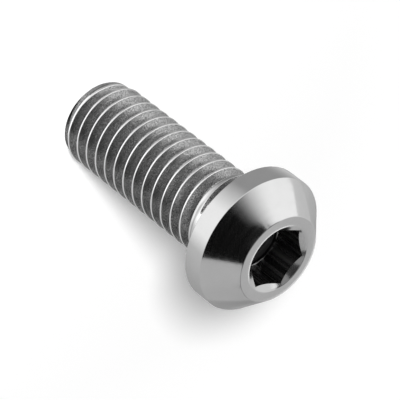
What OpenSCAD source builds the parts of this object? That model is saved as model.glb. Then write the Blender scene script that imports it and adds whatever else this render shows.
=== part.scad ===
// Socket bolt with a tapered head, standing on its thread end with the head up.
// The axis is Z, and z = 0 is the flat end of the shank.
// The shank is plain here, at the size of the thread's crests.

/* [Shank] */
// Diameter of the shank, which is the thread's diameter over its crests
thread_d = 7.8; // [6:0.1:10]
// Length of the shank, from the flat end to the bearing face
shank_l = 19.6; // [12:0.1:60]
// Size of the 45 degree chamfer on the flat end
end_chamfer = 0.45; // [0.2:0.05:0.8]
// Radius of the fillet between the shank and the bearing face
head_fillet = 0.4; // [0.2:0.05:0.6]

/* [Head] */
// Diameter of the head over its rim
head_d = 12.4; // [11.5:0.1:16]
// Height of the straight rim
rim_h = 1.87; // [1:0.01:3]
// Height of the cone from the rim to the front face
cone_h = 2.47; // [2:0.01:4]
// Width of the flat ring on the front face, round the socket's mouth
face_land = 0.87; // [0.4:0.01:1.2]
// Radius on the head's edges
edge_r = 0.1; // [0.05:0.01:0.2]

/* [Drive socket] */
// Width across the flats of the hexagon
socket_af = 5; // [4:0.1:5.5]
// Depth of the flats below the front face
socket_depth = 2.9; // [2.5:0.1:3.5]
// How far the countersunk mouth stands outside the hexagon's corners
mouth_margin = 0.22; // [0.1:0.01:0.5]
// Full angle of the countersink at the mouth
mouth_angle = 120; // [90:5:130]
// How far the drilled hole stays inside the hexagon's flats
drill_margin = 0.1; // [0.03:0.01:0.3]
// Depth of the drilled hole below the flats, without its point
drill_extra = 0.3; // [0.1:0.05:0.6]
// Full angle of the drill point
drill_angle = 120; // [110:1:140]

/* [Hidden] */
$fn = 128;

// Straight runs in each rounded corner of the profile
arc_steps = 6;
// How far a cut runs past the face that it opens
cut_past = 0.5;

head_h = rim_h + cone_h;
bolt_h = shank_l + head_h;
thread_r = thread_d / 2;
head_r = head_d / 2;

socket_corner_r = socket_af / 2 / cos(30);
mouth_r = socket_corner_r + mouth_margin;
face_r = mouth_r + face_land;
drill_r = socket_af / 2 - drill_margin;

function unit(v) = v / norm(v);

// Points on the arc that rounds corner b between the runs from a and to c
function rounded_corner(a, b, c, radius) =
    let (
        to_a = unit(a - b),
        to_c = unit(c - b),
        half_angle = acos(to_a * to_c) / 2,
        centre = b + unit(to_a + to_c) * radius / sin(half_angle),
        first = b + to_a * radius / tan(half_angle) - centre,
        start = atan2(first.y, first.x),
        sweep = 180 - 2 * half_angle,
        turn = cross(to_a, to_c) > 0 ? -sweep : sweep
    )
    [for (i = [0 : arc_steps])
        let (angle = start + turn * i / arc_steps)
        centre + radius * [cos(angle), sin(angle)]];

// Half section of the turned blank, as radius and height
function blank_profile() = concat(
    [
        [0, 0],
        [thread_r - end_chamfer, 0],
        [thread_r, end_chamfer],
    ],
    rounded_corner([thread_r, 0], [thread_r, shank_l], [head_r, shank_l], head_fillet),
    rounded_corner([thread_r, shank_l], [head_r, shank_l], [head_r, bolt_h], edge_r),
    rounded_corner([head_r, shank_l], [head_r, shank_l + rim_h], [face_r, bolt_h], edge_r),
    rounded_corner([head_r, shank_l + rim_h], [face_r, bolt_h], [0, bolt_h], edge_r),
    [[0, bolt_h]]
);

module turned_blank() {
    rotate_extrude()
        polygon(blank_profile());
}

// Countersunk mouth that leads a key into the hexagon
module socket_mouth() {
    past_r = mouth_r + cut_past * tan(mouth_angle / 2);
    depth = mouth_r / tan(mouth_angle / 2);
    translate([0, 0, bolt_h - depth])
        cylinder(h = depth + cut_past, r1 = 0, r2 = past_r);
}

// Hexagon with two flats facing the front and the back
module socket_flats() {
    translate([0, 0, bolt_h - socket_depth])
        cylinder(h = socket_depth + cut_past, r = socket_corner_r, $fn = 6);
}

// Drilled hole that the hexagon is cut from, with the point of the drill
module drilled_hole() {
    point_h = drill_r / tan(drill_angle / 2);
    floor_z = bolt_h - socket_depth - drill_extra;
    translate([0, 0, floor_z])
        cylinder(h = socket_depth, r = drill_r);
    translate([0, 0, floor_z - point_h])
        cylinder(h = point_h, r1 = 0, r2 = drill_r);
}

module bolt() {
    color("silver")
        difference() {
            turned_blank();
            socket_mouth();
            socket_flats();
            drilled_hole();
        }
}

bolt();
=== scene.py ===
# Looks of the socket bolt: one turned and threaded piece over its CAD frame, on a pale studio floor.
# Sizes are in millimetres and are made metres when a mesh is finished.

import math

import bmesh
import bpy
from mathutils import Matrix, Vector


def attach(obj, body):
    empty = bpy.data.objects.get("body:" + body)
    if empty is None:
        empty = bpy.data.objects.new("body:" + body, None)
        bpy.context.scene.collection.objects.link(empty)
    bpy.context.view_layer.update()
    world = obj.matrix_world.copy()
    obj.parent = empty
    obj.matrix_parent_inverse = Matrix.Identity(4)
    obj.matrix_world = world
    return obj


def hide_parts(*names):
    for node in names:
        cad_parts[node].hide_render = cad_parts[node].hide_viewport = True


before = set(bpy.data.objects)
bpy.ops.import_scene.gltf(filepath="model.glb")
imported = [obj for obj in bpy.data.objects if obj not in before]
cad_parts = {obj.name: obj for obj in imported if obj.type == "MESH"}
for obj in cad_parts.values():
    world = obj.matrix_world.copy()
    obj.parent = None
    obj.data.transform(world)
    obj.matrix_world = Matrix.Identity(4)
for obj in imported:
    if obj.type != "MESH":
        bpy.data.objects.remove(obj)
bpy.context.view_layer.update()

MM = 0.001

# Shank and its thread
THREAD_R = 3.9
SHANK_L = 19.6
END_CHAMFER = 0.45
PITCH = 1.25
THREAD_DEPTH = 0.767
CREST_FLAT = PITCH / 8
CREST_BREAK = 0.04
ROOT_FLAT = PITCH / 6
ROOT_BREAK = 0.09
FLANK_SLOPE = math.radians(30)
GROOVE_TURNS = 17

# Angle of the camera's side, and the height of the first groove's middle there
FRONT = -math.pi / 2
FIRST_GROOVE = -1.012

# Lead-in at the flat end: heights of the groove's middle from no depth to full depth
LEAD_START = -0.4
LEAD_END = 0.55
# Heights over which the first crest falls away, how far it falls, and where its lower side turns dull and
# takes the flanks' painted shade
LEAD_CREST = (1.0, 0.72)
LEAD_FALL = 0.2
LEAD_BRIGHT = 0.8

# Pull-out below the neck: heights where the tool starts to leave and is out, and the share of width left
PULL_OUT_START = 17.478
PULL_OUT_END = 17.79
PULL_OUT_WIDTH = 0.2

# The threaded length is cut off here and joined to the head's ring above it
THREAD_TOP = 18.3
HEAD_RING = 18.8

# Head
HEAD_FILLET = 0.4
HEAD_R = 6.2
RIM_H = 1.87
CONE_H = 2.47
FACE_LAND = 0.87
EDGE_R = 0.1
MOUTH_BREAK = 0.08

# Drive socket
SOCKET_AF = 5.0
SOCKET_DEPTH = 2.9
MOUTH_MARGIN = 0.22
MOUTH_LEAD = 0.18
MOUTH_SLOPE = math.radians(60)
DRILL_MARGIN = 0.1
DRILL_EXTRA = 0.3
DRILL_BREAK = 0.05
DRILL_SLOPE = math.radians(60)

RIM_TOP = SHANK_L + RIM_H
BOLT_H = RIM_TOP + CONE_H
MOUTH_R = SOCKET_AF / 2 / math.cos(math.pi / 6) + MOUTH_MARGIN
FACE_R = MOUTH_R + FACE_LAND
DRILL_R = SOCKET_AF / 2 - DRILL_MARGIN

# Flats round the axis, a multiple of six so that the hexagon's corners fall on points
ROUND = 180
SHARP_ANGLE = math.radians(25)
MERGE = 0.0001

# Finishes, in the order of the bolt's material slots
POLISHED, THREADED, TURNED, NECK, BROACHED, DRILLED = range(6)

# Floor: its paint, and how far it is lifted to white near the bolt and far from it
FLOOR_HALF = 1500
FLOOR_PAINT = 0.83
FLOOR_LIFT = 0.25
FLOOR_NEAR = 30
FLOOR_FAR = 250

# Even light from all round
FILL_LEVEL = 0.15

# Lamp: size, watts, distance, and its direction from the camera's side
LAMP_WIDTH = 180
LAMP_HEIGHT = 100
LAMP_POWER = 12.8
LAMP_AWAY = 1000
LAMP_ASIDE = math.radians(5.6)
LAMP_RISE = math.radians(37.4)

# Reflection cards: steps up a curved card, sides of the round one, and the two that lie on the floor, the
# small one painted shade round the flat end
CARD_STEPS = 12
CARD_SIDES = 96
FLOOR_CARD_Z = -0.05
BASE_CARD_Z = -0.01
BASE_CARD_INNER = 3.75
BASE_CARD_OUTER = 4.35

# Camera: the point it looks at, its distance, how it is turned, and its lens
CAMERA_AIM = (0.103, 0, 14.032)
CAMERA_AWAY = 231.671
CAMERA_RISE = math.radians(36.884)
CAMERA_ROLL = math.radians(127.901)
CAMERA_SWING = math.radians(-0.032)
CAMERA_NEAR = 10
LENS_LENGTH = 252.604
SENSOR_WIDTH = 36


def section(bm, corners, angle):
    """Draws a half section in a plane through the axis; corners are radius, height, edge break and steps."""
    before = set(bm.edges)
    out = Vector((math.cos(angle), math.sin(angle), 0))
    points = [bm.verts.new(out * radius + Vector((0, 0, height))) for radius, height, _, _ in corners]
    for pair in zip(points, points[1:]):
        bm.edges.new(pair)
    for point, (_, _, edge_break, steps) in zip(points, corners):
        if edge_break:
            bmesh.ops.bevel(bm, geom=[point], offset=edge_break, offset_type='OFFSET', segments=steps,
                            profile=0.5, affect='VERTICES', material=-1)
    line = [edge for edge in bm.edges if edge not in before]
    ends = {vert for edge in line for vert in edge.verts}
    return [vert for vert in bm.verts if vert in ends] + line


def turn(bm, geometry, rise=0.0):
    """Turns a half section once round the axis, with a rise for a thread."""
    bmesh.ops.spin(bm, geom=geometry, cent=(0, 0, 0), axis=(0, 0, 1), dvec=(0, 0, rise / ROUND),
                   angle=2 * math.pi, space=Matrix(), steps=ROUND, use_merge=not rise,
                   use_normal_flip=False, use_duplicate=False)
    bmesh.ops.remove_doubles(bm, verts=bm.verts[:], dist=MERGE)


def arc_break(radius, corner_angle):
    """How far an edge radius reaches along the runs beside a corner."""
    return radius / math.tan(corner_angle / 2)


def groove_middle(point):
    """Height of the middle of the thread groove nearest to a point."""
    part = (math.atan2(point.y, point.x) - FRONT) / (2 * math.pi)
    number = round((point.z - FIRST_GROOVE) / PITCH - part)
    return FIRST_GROOVE + PITCH * (number + part)


def share(value, start, end):
    """How far a value has come from start to end, from 0 to 1."""
    return min(max((value - start) / (end - start), 0), 1)


def fade_groove(vert):
    """Makes the groove shallower in the lead-in, and shallower and narrower in the pull-out."""
    middle = groove_middle(vert.co)
    off = vert.co.z - middle
    radius = vert.co.xy.length
    gone = share(middle, PULL_OUT_START, PULL_OUT_END)
    depth = (1 - gone ** 2) * share(middle, LEAD_START, LEAD_END)
    half = PITCH / 2 - CREST_FLAT / 2 + CREST_BREAK
    kept = half * (1 - gone * (1 - PULL_OUT_WIDTH))
    if abs(off) <= half:
        moved = abs(off) * kept / half
    else:
        moved = kept + (abs(off) - half) * (PITCH / 2 - kept) / (PITCH / 2 - half)
    scale = (THREAD_R - (THREAD_R - radius) * depth) / radius
    vert.co = (vert.co.x * scale, vert.co.y * scale, middle + math.copysign(moved, off))


def lower_crest(vert):
    """Lowers and widens the crest that the lead-in leaves unfinished at the flat end."""
    middle = groove_middle(vert.co)
    off = vert.co.z - middle
    fall = LEAD_FALL * share(middle + math.copysign(PITCH / 2, off), *LEAD_CREST)
    radius = vert.co.xy.length
    if not fall or radius < THREAD_R - CREST_BREAK:
        return
    scale = 1 - fall / radius
    on_flank = PITCH / 4 < abs(off) < PITCH / 2 - CREST_FLAT / 4
    slide = fall * math.tan(FLANK_SLOPE) if on_flank else 0
    vert.co = (vert.co.x * scale, vert.co.y * scale, vert.co.z - math.copysign(slide, off))


def groove(bm):
    """One turn of the thread groove, from crest to crest, with dull flanks in painted shade and crests with a
    painted highlight.
    """
    low = FIRST_GROOVE - PITCH / 2
    high = FIRST_GROOVE + PITCH / 2
    root = THREAD_R - THREAD_DEPTH
    corners = [
        (THREAD_R, low, 0, 0),
        (THREAD_R, low + CREST_FLAT / 2, CREST_BREAK, 3),
        (root, FIRST_GROOVE - ROOT_FLAT / 2, ROOT_BREAK, 3),
        (root, FIRST_GROOVE + ROOT_FLAT / 2, ROOT_BREAK, 3),
        (THREAD_R, high - CREST_FLAT / 2, CREST_BREAK, 3),
        (THREAD_R, high, 0, 0),
    ]
    turn(bm, section(bm, corners, FRONT), rise=PITCH)
    for face in bm.faces:
        lowest = min(vert.co.xy.length for vert in face.verts)
        face.material_index = THREADED if lowest < THREAD_R - CREST_BREAK else TURNED


def finish_ends(bm):
    """Makes the first crest's low end dull, with the flanks' painted shade, and gives the last crest and all
    above it the neck's finish.
    """
    for face in bm.faces:
        centre = face.calc_center_median()
        middle = groove_middle(centre)
        crest = middle + math.copysign(PITCH / 2, centre.z - middle)
        if centre.z > middle and crest < LEAD_BRIGHT:
            face.material_index = THREADED
        last_crest = face.material_index == TURNED and crest > PULL_OUT_START - PITCH / 2
        if last_crest or middle > PULL_OUT_END:
            face.material_index = NECK


def thread(bm):
    """Threaded shank, closed below the flat end for the end cut; returns its open ring at the top."""
    groove(bm)
    one_turn = bm.verts[:] + bm.edges[:] + bm.faces[:]
    for number in range(1, GROOVE_TURNS):
        copy = bmesh.ops.duplicate(bm, geom=one_turn)["geom"]
        verts = [item for item in copy if isinstance(item, bmesh.types.BMVert)]
        bmesh.ops.translate(bm, verts=verts, vec=(0, 0, PITCH * number))
    bmesh.ops.remove_doubles(bm, verts=bm.verts[:], dist=MERGE)
    finish_ends(bm)
    for vert in bm.verts:
        fade_groove(vert)
        lower_crest(vert)
    for height, way in ((-END_CHAMFER, -1), (THREAD_TOP, 1)):
        bmesh.ops.bisect_plane(bm, geom=bm.verts[:] + bm.edges[:] + bm.faces[:], dist=MERGE / 10,
                               plane_co=(0, 0, height), plane_no=(0, 0, way), clear_outer=True)
    top = [edge for edge in bm.edges if edge.is_boundary and edge.verts[0].co.z > HEAD_RING / 2]
    bottom = [edge for edge in bm.edges if edge.is_boundary and edge.verts[0].co.z < HEAD_RING / 2]
    bmesh.ops.holes_fill(bm, edges=bottom, sides=0)
    return top


def pull_ring(bm, ring, spot):
    """Extrudes a ring of edges; spot gives each new point's radius and height from its angle."""
    made = bmesh.ops.extrude_edge_only(bm, edges=ring)["geom"]
    points = {item for item in made if isinstance(item, bmesh.types.BMVert)}
    for point in points:
        angle = math.atan2(point.co.y, point.co.x)
        radius, height = spot(angle)
        point.co = (math.cos(angle) * radius, math.sin(angle) * radius, height)
    return [item for item in made if isinstance(item, bmesh.types.BMEdge) and points.issuperset(item.verts)]


def hexagon(angle):
    """Radius of the socket's hexagon, with corners on the X axis."""
    return SOCKET_AF / 2 / math.cos(angle % (math.pi / 3) - math.pi / 6)


def socket(bm, ring):
    """Drive socket below a ring in its mouth: the rest of the countersink, the flats and the drilled hole."""
    ledge = BOLT_H - SOCKET_DEPTH
    floor_z = ledge - DRILL_EXTRA
    point = (0, 0, floor_z - DRILL_R / math.tan(DRILL_SLOPE))
    ring = pull_ring(bm, ring, lambda angle: (
        hexagon(angle), BOLT_H - (MOUTH_R - hexagon(angle)) / math.tan(MOUTH_SLOPE)))
    countersink = set(bm.faces)
    ring = pull_ring(bm, ring, lambda angle: (hexagon(angle), ledge))
    ring = pull_ring(bm, ring, lambda angle: (DRILL_R + DRILL_BREAK, ledge))
    ring = pull_ring(bm, ring, lambda angle: (DRILL_R, ledge - DRILL_BREAK))
    flats = set(bm.faces)
    ring = pull_ring(bm, ring, lambda angle: (DRILL_R, floor_z))
    ring = pull_ring(bm, ring, lambda angle: (DRILL_R / 2, floor_z - DRILL_R / 2 / math.tan(DRILL_SLOPE)))
    ring = pull_ring(bm, ring, lambda angle: (MERGE, point[2]))
    bmesh.ops.pointmerge(bm, verts=list({vert for edge in ring for vert in edge.verts}), merge_co=point)
    for face in set(bm.faces) - countersink:
        face.material_index = BROACHED if face in flats else DRILLED


def head(bm):
    """Head with its drive socket; returns its open ring, which joins the shank."""
    cone_slope = math.atan2(CONE_H, HEAD_R - FACE_R)
    rim_break = arc_break(EDGE_R, math.pi / 2 + cone_slope)
    face_break = arc_break(EDGE_R, math.pi - cone_slope)
    corners = [
        (THREAD_R, HEAD_RING, 0, 0),
        (THREAD_R, SHANK_L, HEAD_FILLET, 6),
        (HEAD_R, SHANK_L, EDGE_R, 4),
        (HEAD_R, RIM_TOP, rim_break, 3),
        (FACE_R, BOLT_H, face_break, 3),
        (MOUTH_R, BOLT_H, MOUTH_BREAK, 2),
        (MOUTH_R - MOUTH_LEAD, BOLT_H - MOUTH_LEAD / math.tan(MOUTH_SLOPE), 0, 0),
    ]
    shank_faces = set(bm.faces)
    turn(bm, section(bm, corners, 0))
    for face in set(bm.faces) - shank_faces:
        face.material_index = POLISHED if face.calc_center_median().z > SHANK_L - MERGE else NECK
    rings = [edge for edge in bm.edges if edge.is_boundary]
    joint = [edge for edge in rings if abs(edge.verts[0].co.z - HEAD_RING) < MERGE]
    socket(bm, [edge for edge in rings if edge.verts[0].co.z > RIM_TOP])
    return joint


def end_tool():
    """Solid that the flat end and its chamfer are cut with."""
    reach = HEAD_R
    rim = THREAD_R - END_CHAMFER
    corners = [
        (0, 0, 0, 0),
        (rim, 0, 0, 0),
        (reach, reach - rim, 0, 0),
        (reach, -reach, 0, 0),
        (0, -reach, 0, 0),
    ]
    bm = bmesh.new()
    turn(bm, section(bm, corners, 0))
    bmesh.ops.recalc_face_normals(bm, faces=bm.faces[:])
    for face in bm.faces:
        face.material_index = TURNED
    return bm


def place(bm, name, finishes):
    """Puts a mesh into the scene under a name, with its finishes."""
    mesh = bpy.data.meshes.new(name)
    bm.to_mesh(mesh)
    bm.free()
    for finish in finishes:
        mesh.materials.append(finish)
    piece = bpy.data.objects.new(name, mesh)
    bpy.context.scene.collection.objects.link(piece)
    return piece


def in_metres(bm):
    """Takes a mesh from millimetres to metres."""
    bmesh.ops.scale(bm, vec=(MM, MM, MM), verts=bm.verts[:])
    return bm


def cut_end(blank, tool):
    """Cuts the flat end and the chamfer, and returns the cut mesh."""
    cut = blank.modifiers.new("flat end", 'BOOLEAN')
    cut.operation = 'DIFFERENCE'
    cut.solver = 'EXACT'
    cut.object = tool
    shown = blank.evaluated_get(bpy.context.evaluated_depsgraph_get())
    bm = bmesh.new()
    bm.from_mesh(shown.to_mesh())
    for spent in (blank, tool):
        bpy.data.objects.remove(spent)
    return bm


def make_bolt(finishes):
    """The whole bolt as one closed mesh."""
    bm = bmesh.new()
    top = thread(bm)
    joint = head(bm)
    joined = bmesh.ops.bridge_loops(bm, edges=[edge for edge in top if edge.is_valid] + joint)["faces"]
    for face in joined:
        face.material_index = NECK
    bmesh.ops.recalc_face_normals(bm, faces=bm.faces[:])
    bm = cut_end(place(bm, "blank", finishes), place(end_tool(), "end_tool", finishes))
    bmesh.ops.remove_doubles(bm, verts=bm.verts[:], dist=MERGE)
    for face in bm.faces:
        face.smooth = True
    for edge in bm.edges:
        edge.smooth = edge.calc_face_angle(math.pi) < SHARP_ANGLE
    return place(in_metres(bm), "socket_bolt", finishes)


def new_finish(name):
    """An empty metal finish, with its nodes, its links, its shader and its object coordinates."""
    finish = bpy.data.materials.new(name)
    finish.use_nodes = True
    nodes = finish.node_tree.nodes
    shader = nodes["Principled BSDF"]
    shader.inputs["Metallic"].default_value = 1.0
    return finish, nodes, finish.node_tree.links, shader, nodes.new("ShaderNodeTexCoord")


def noise(nodes, links, source, scale, detail, stretch=(1, 1, 1)):
    """Noise on object coordinates, with scale grains to a millimetre."""
    mapping = nodes.new("ShaderNodeMapping")
    mapping.inputs["Scale"].default_value = stretch
    links.new(source.outputs["Object"], mapping.inputs["Vector"])
    grain = nodes.new("ShaderNodeTexNoise")
    grain.inputs["Scale"].default_value = scale / MM
    grain.inputs["Detail"].default_value = detail
    links.new(mapping.outputs["Vector"], grain.inputs["Vector"])
    return grain


def vary(nodes, links, grain, setting, low, high, start=0.3, end=0.7):
    """Lets a grain vary a setting of the shader from one value to another."""
    ramp = nodes.new("ShaderNodeValToRGB")
    ramp.color_ramp.elements[0].position = start
    ramp.color_ramp.elements[0].color = (low, low, low, 1)
    ramp.color_ramp.elements[1].position = end
    ramp.color_ramp.elements[1].color = (high, high, high, 1)
    links.new(grain.outputs["Fac"], ramp.inputs["Fac"])
    links.new(ramp.outputs["Color"], setting)


def relief(nodes, links, grain, shader, depth, strength):
    """Fine relief from a grain, depth in millimetres."""
    bump = nodes.new("ShaderNodeBump")
    bump.inputs["Strength"].default_value = strength
    bump.inputs["Distance"].default_value = depth * MM
    links.new(grain.outputs["Fac"], bump.inputs["Height"])
    links.new(bump.outputs["Normal"], shader.inputs["Normal"])


def polished_head():
    """Bright head with very fine turning lines."""
    finish, nodes, links, shader, source = new_finish("polished head")
    cloud = noise(nodes, links, source, scale=0.4, detail=3)
    vary(nodes, links, cloud, shader.inputs["Base Color"], low=0.6, high=0.64)
    lines = noise(nodes, links, source, scale=6, detail=2, stretch=(0.02, 0.02, 1))
    vary(nodes, links, lines, shader.inputs["Roughness"], low=0.1, high=0.16)
    grain = noise(nodes, links, source, scale=10, detail=2)
    relief(nodes, links, grain, shader, depth=0.0016, strength=1.0)
    return finish


def threaded_flanks_shade():
    """Matte flanks and roots, coloured greyer than the head's metal as painted shade of the grooves, with a
    fine grain and dark specks.
    """
    finish, nodes, links, shader, source = new_finish("threaded flanks painted shade")
    grain = noise(nodes, links, source, scale=10, detail=4)
    vary(nodes, links, grain, shader.inputs["Base Color"], low=0.1, high=0.58)
    vary(nodes, links, grain, shader.inputs["Roughness"], low=0.32, high=0.25)
    relief(nodes, links, grain, shader, depth=0.01, strength=0.8)
    return finish


def turned_crests_highlight():
    """Turned metal of the crests, the chamfer and the flat end, coloured lighter than the head's metal as a
    painted highlight.
    """
    finish, nodes, links, shader, source = new_finish("turned crests painted highlight")
    lines = noise(nodes, links, source, scale=7, detail=3, stretch=(0.05, 0.05, 1))
    vary(nodes, links, lines, shader.inputs["Base Color"], low=0.78, high=0.95)
    vary(nodes, links, lines, shader.inputs["Roughness"], low=0.18, high=0.12)
    return finish


def turned_neck():
    """Plain neck under the head, with the lines of the turning tool."""
    finish, nodes, links, shader, source = new_finish("turned neck")
    lines = noise(nodes, links, source, scale=4, detail=4, stretch=(0.05, 0.05, 1))
    vary(nodes, links, lines, shader.inputs["Base Color"], low=0.36, high=0.84, start=0.36, end=0.62)
    vary(nodes, links, lines, shader.inputs["Roughness"], low=0.24, high=0.15)
    return finish


def broached_socket_shade():
    """Walls of the socket, coloured darker as painted shade, with the marks of the broach down the flats."""
    finish, nodes, links, shader, source = new_finish("broached socket painted shade")
    marks = noise(nodes, links, source, scale=2.2, detail=4, stretch=(1, 1, 0.04))
    vary(nodes, links, marks, shader.inputs["Base Color"], low=0.12, high=0.5, start=0.4, end=0.65)
    vary(nodes, links, marks, shader.inputs["Roughness"], low=0.2, high=0.34)
    relief(nodes, links, marks, shader, depth=0.01, strength=0.4)
    return finish


def drill_floor_shade():
    """Dull metal at the bottom of the drilled hole, coloured dark as painted shade, with the rings of the
    drill.
    """
    finish, nodes, links, shader, source = new_finish("drill floor painted shade")
    rings = noise(nodes, links, source, scale=5, detail=3, stretch=(0.1, 0.1, 1))
    vary(nodes, links, rings, shader.inputs["Base Color"], low=0.05, high=0.14)
    vary(nodes, links, rings, shader.inputs["Roughness"], low=0.5, high=0.36)
    return finish


def stage_only(bm, name, finish):
    """A sheet of the studio."""
    sheet = place(bm, name, [finish])
    return sheet


def reflected_only(sheet):
    """Lets a card show in reflections alone."""
    sheet.visible_camera = False
    sheet.visible_diffuse = False
    sheet.visible_shadow = False
    sheet.visible_transmission = False


def even(level):
    """Light of a card that has the same level all over."""
    return [(0, level)]


def glow(name, stops):
    """Light of a card, as azimuths round the bolt with their levels."""
    finish = bpy.data.materials.new(name)
    finish.use_nodes = True
    nodes = finish.node_tree.nodes
    links = finish.node_tree.links
    nodes.remove(nodes["Principled BSDF"])
    light = nodes.new("ShaderNodeEmission")
    links.new(light.outputs["Emission"], nodes["Material Output"].inputs["Surface"])
    brightest = max(level for _, level in stops)
    light.inputs["Strength"].default_value = brightest
    if len(stops) == 1:
        return finish
    source = nodes.new("ShaderNodeTexCoord")
    angle = nodes.new("ShaderNodeTexGradient")
    angle.gradient_type = 'RADIAL'
    links.new(source.outputs["Object"], angle.inputs["Vector"])
    levels = nodes.new("ShaderNodeValToRGB")
    steps = levels.color_ramp.elements
    while len(steps) < len(stops):
        steps.new(1.0)
    for step, (azimuth, level) in zip(steps, stops):
        step.position = azimuth / 360 + 0.5
        step.color = (level / brightest, level / brightest, level / brightest, 1)
    links.new(angle.outputs["Fac"], levels.inputs["Fac"])
    links.new(levels.outputs["Color"], light.inputs["Color"])
    return finish


def dome_card(name, azimuths, elevations, distance, stops, lean=0.0):
    """A curved card that only the metal reflects, as a patch of a dome round the head.

    Azimuths and elevations are in degrees, and lean turns the card as it rises.
    """
    low, high = (math.radians(elevation) for elevation in elevations)
    start, end = (math.radians(azimuth) for azimuth in azimuths)
    rises = [low + (high - low) * step / CARD_STEPS for step in range(CARD_STEPS + 1)]
    corners = [(distance * math.cos(rise), RIM_TOP + distance * math.sin(rise), 0, 0) for rise in rises]
    bm = bmesh.new()
    bmesh.ops.spin(bm, geom=section(bm, corners, start), cent=(0, 0, 0), axis=(0, 0, 1), dvec=(0, 0, 0),
                   angle=end - start, space=Matrix(), steps=4 * CARD_STEPS, use_merge=False,
                   use_normal_flip=False, use_duplicate=False)
    for vert in bm.verts:
        rise = math.atan2(vert.co.z - RIM_TOP, vert.co.xy.length) - low
        vert.co.rotate(Matrix.Rotation(lean * rise, 3, 'Z'))
    reflected_only(stage_only(in_metres(bm), name, glow(name, stops)))


def floor_card(stops):
    """The floor as the metal reflects it, lighter and darker round the bolt."""
    bm = bmesh.new()
    bmesh.ops.create_circle(bm, cap_ends=True, cap_tris=True, segments=CARD_SIDES, radius=FLOOR_HALF * MM)
    bmesh.ops.translate(bm, verts=bm.verts[:], vec=(0, 0, FLOOR_CARD_Z * MM))
    reflected_only(stage_only(bm, "floor_card", glow("floor card", stops)))


def contact_shade_card(stops):
    """Painted shade of the floor close round the flat end, where the bolt's contact shadow falls, as the
    metal reflects it.
    """
    bm = bmesh.new()
    corners = [(radius, BASE_CARD_Z, 0, 0) for radius in (BASE_CARD_INNER, BASE_CARD_OUTER)]
    turn(bm, section(bm, corners, 0))
    reflected_only(stage_only(in_metres(bm), "contact_shade_card", glow("contact shade card", stops)))


def seen_directly(nodes, links):
    """1 for what the camera, a mirror or glass sees, and 0 for lighting."""
    path = nodes.new("ShaderNodeLightPath")
    both = nodes.new("ShaderNodeMath")
    both.operation = 'MAXIMUM'
    links.new(path.outputs["Is Camera Ray"], both.inputs[0])
    links.new(path.outputs["Is Glossy Ray"], both.inputs[1])
    every = nodes.new("ShaderNodeMath")
    every.operation = 'MAXIMUM'
    links.new(both.outputs["Value"], every.inputs[0])
    links.new(path.outputs["Is Transmission Ray"], every.inputs[1])
    return every.outputs["Value"]


def pale_floor():
    """Pale floor that keeps the shadow and shows white where it is lit and further away."""
    finish = bpy.data.materials.new("pale floor")
    finish.use_nodes = True
    nodes = finish.node_tree.nodes
    links = finish.node_tree.links
    nodes.remove(nodes["Principled BSDF"])
    paint = nodes.new("ShaderNodeBsdfDiffuse")
    paint.inputs["Color"].default_value = (FLOOR_PAINT, FLOOR_PAINT, FLOOR_PAINT, 1)
    source = nodes.new("ShaderNodeTexCoord")
    reach = nodes.new("ShaderNodeVectorMath")
    reach.operation = 'LENGTH'
    links.new(source.outputs["Object"], reach.inputs[0])
    fade = nodes.new("ShaderNodeMapRange")
    fade.inputs["From Min"].default_value = FLOOR_NEAR * MM
    fade.inputs["From Max"].default_value = FLOOR_FAR * MM
    fade.inputs["To Min"].default_value = FLOOR_LIFT
    fade.inputs["To Max"].default_value = 1.0
    links.new(reach.outputs["Value"], fade.inputs["Value"])
    strength = nodes.new("ShaderNodeMath")
    strength.operation = 'MULTIPLY'
    links.new(seen_directly(nodes, links), strength.inputs[0])
    links.new(fade.outputs["Result"], strength.inputs[1])
    lift = nodes.new("ShaderNodeEmission")
    links.new(strength.outputs["Value"], lift.inputs["Strength"])
    both = nodes.new("ShaderNodeAddShader")
    links.new(paint.outputs["BSDF"], both.inputs[0])
    links.new(lift.outputs["Emission"], both.inputs[1])
    links.new(both.outputs["Shader"], nodes["Material Output"].inputs["Surface"])
    return finish


def floor():
    """Floor under the bolt; the metal sees the floor card in its place."""
    bm = bmesh.new()
    bmesh.ops.create_grid(bm, x_segments=1, y_segments=1, size=FLOOR_HALF * MM)
    stage_only(bm, "floor", pale_floor()).visible_glossy = False


def fill_light():
    """Even light from all round, white behind the floor."""
    world = bpy.data.worlds.new("fill light")
    world.use_nodes = True
    nodes = world.node_tree.nodes
    links = world.node_tree.links
    fill = nodes["Background"]
    fill.inputs["Color"].default_value = (FILL_LEVEL, FILL_LEVEL, FILL_LEVEL, 1)
    white = nodes.new("ShaderNodeBackground")
    white.inputs["Color"].default_value = (1, 1, 1, 1)
    path = nodes.new("ShaderNodeLightPath")
    mix = nodes.new("ShaderNodeMixShader")
    links.new(path.outputs["Is Camera Ray"], mix.inputs["Fac"])
    links.new(fill.outputs["Background"], mix.inputs[1])
    links.new(white.outputs["Background"], mix.inputs[2])
    links.new(mix.outputs["Shader"], nodes["World Output"].inputs["Surface"])
    bpy.context.scene.world = world


def key_lamp():
    """Soft lamp beside the camera, which casts the shadow behind the bolt and a little to one side."""
    lamp = bpy.data.lights.new("key_lamp", 'AREA')
    lamp.shape = 'ELLIPSE'
    lamp.size = LAMP_WIDTH * MM
    lamp.size_y = LAMP_HEIGHT * MM
    lamp.energy = LAMP_POWER
    key = bpy.data.objects.new("key_lamp", lamp)
    key.visible_glossy = False
    level = math.cos(LAMP_RISE)
    way = Vector((-math.sin(LAMP_ASIDE) * level, -math.cos(LAMP_ASIDE) * level, math.sin(LAMP_RISE)))
    key.location = way * LAMP_AWAY * MM
    key.rotation_euler = way.to_track_quat('Z', 'Y').to_euler()
    bpy.context.scene.collection.objects.link(key)


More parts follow.
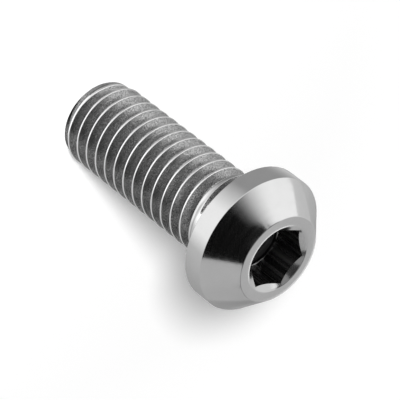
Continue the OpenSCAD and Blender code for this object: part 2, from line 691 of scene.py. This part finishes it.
def studio():
    """Floor, lights and reflection cards; azimuth -90 is the camera's side and 180 its right."""
    floor()
    fill_light()
    key_lamp()
    floor_card([
        (-180, 0.42), (-140, 0.42), (-95, 1.3), (-52, 1.3), (-28, 0.72), (30, 0.5),
        (66, 0.38), (82, 0.46), (106, 0.46), (128, 0.68), (162, 0.42), (180, 0.42)])
    contact_shade_card([(-180, 0.55), (-150, 0.5), (-112, 0.12), (112, 0.12), (150, 0.5), (180, 0.55)])
    dome_card("room_walls", (0, 360), (-10, 90), 400, [
        (-180, 0.62), (10, 0.62), (55, 0.55), (100, 0.62), (118, 0.74), (140, 0.79),
        (155, 0.85), (165, 0.62), (180, 0.62)])
    dome_card("black_flag", (-135, -21.5), (15, 89), 300, even(0.004))
    dome_card("side_flag", (27.5, 54), (22.7, 60), 300, even(0.03), lean=-0.96)
    dome_card("corner_flag", (-21.5, 2), (47, 58.5), 301, even(0.05))
    dome_card("low_flag", (46, 60), (14, 22.7), 301, even(0.05))
    dome_card("dark_ceiling", (0, 360), (66, 79), 290, even(0.32))
    dome_card("ceiling_edge", (0, 360), (58.5, 66), 290, even(0.1))
    dome_card("ceiling_lip", (163, 217), (50, 58.5), 265, even(0.08))
    dome_card("ceiling_hatch", (0, 360), (79, 90), 285, even(0.04))
    dome_card("softbox", (185, 257), (8, 50), 260, [
        (-176, 1.27), (-162, 1.22), (-151.6, 1.0), (-140.5, 0.72), (-128.6, 0.35),
        (-116, 0.09), (-103.2, 0.005)])
    dome_card("softbox_side", (163, 185), (8, 55), 260, even(1.27))
    dome_card("softbox_corner", (150, 163), (8, 60), 260, even(1.27))
    dome_card("softbox_wing", (118, 150), (20, 58.5), 262, even(0.92))
    dome_card("side_strip", (195, 255), (-6, 27), 255, even(1.2))
    dome_card("back_strip", (80, 100), (-8, 28), 255, even(1.3))


def aim_camera():
    """Camera at the photograph's viewing angle, rolled so that the bolt lies across the frame."""
    lens = bpy.data.cameras.new("camera")
    lens.sensor_width = SENSOR_WIDTH
    lens.lens = LENS_LENGTH
    lens.clip_start = CAMERA_NEAR * MM
    camera = bpy.data.objects.new("camera", lens)
    bpy.context.scene.collection.objects.link(camera)
    aim = Matrix.Translation(Vector(CAMERA_AIM) * MM)
    swing = Matrix.Rotation(CAMERA_SWING, 4, 'Z')
    tilt = Matrix.Rotation(math.pi / 2 - CAMERA_RISE, 4, 'X')
    roll = Matrix.Rotation(CAMERA_ROLL, 4, 'Z')
    back = Matrix.Translation((0, 0, CAMERA_AWAY * MM))
    camera.matrix_world = aim @ swing @ tilt @ roll @ back
    bpy.context.scene.camera = camera


bpy.context.scene.view_settings.view_transform = 'Standard'
bolt = make_bolt([polished_head(), threaded_flanks_shade(), turned_crests_highlight(), turned_neck(), broached_socket_shade(),
                  drill_floor_shade()])
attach(bolt, "root")
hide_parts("bolt")
studio()
aim_camera()
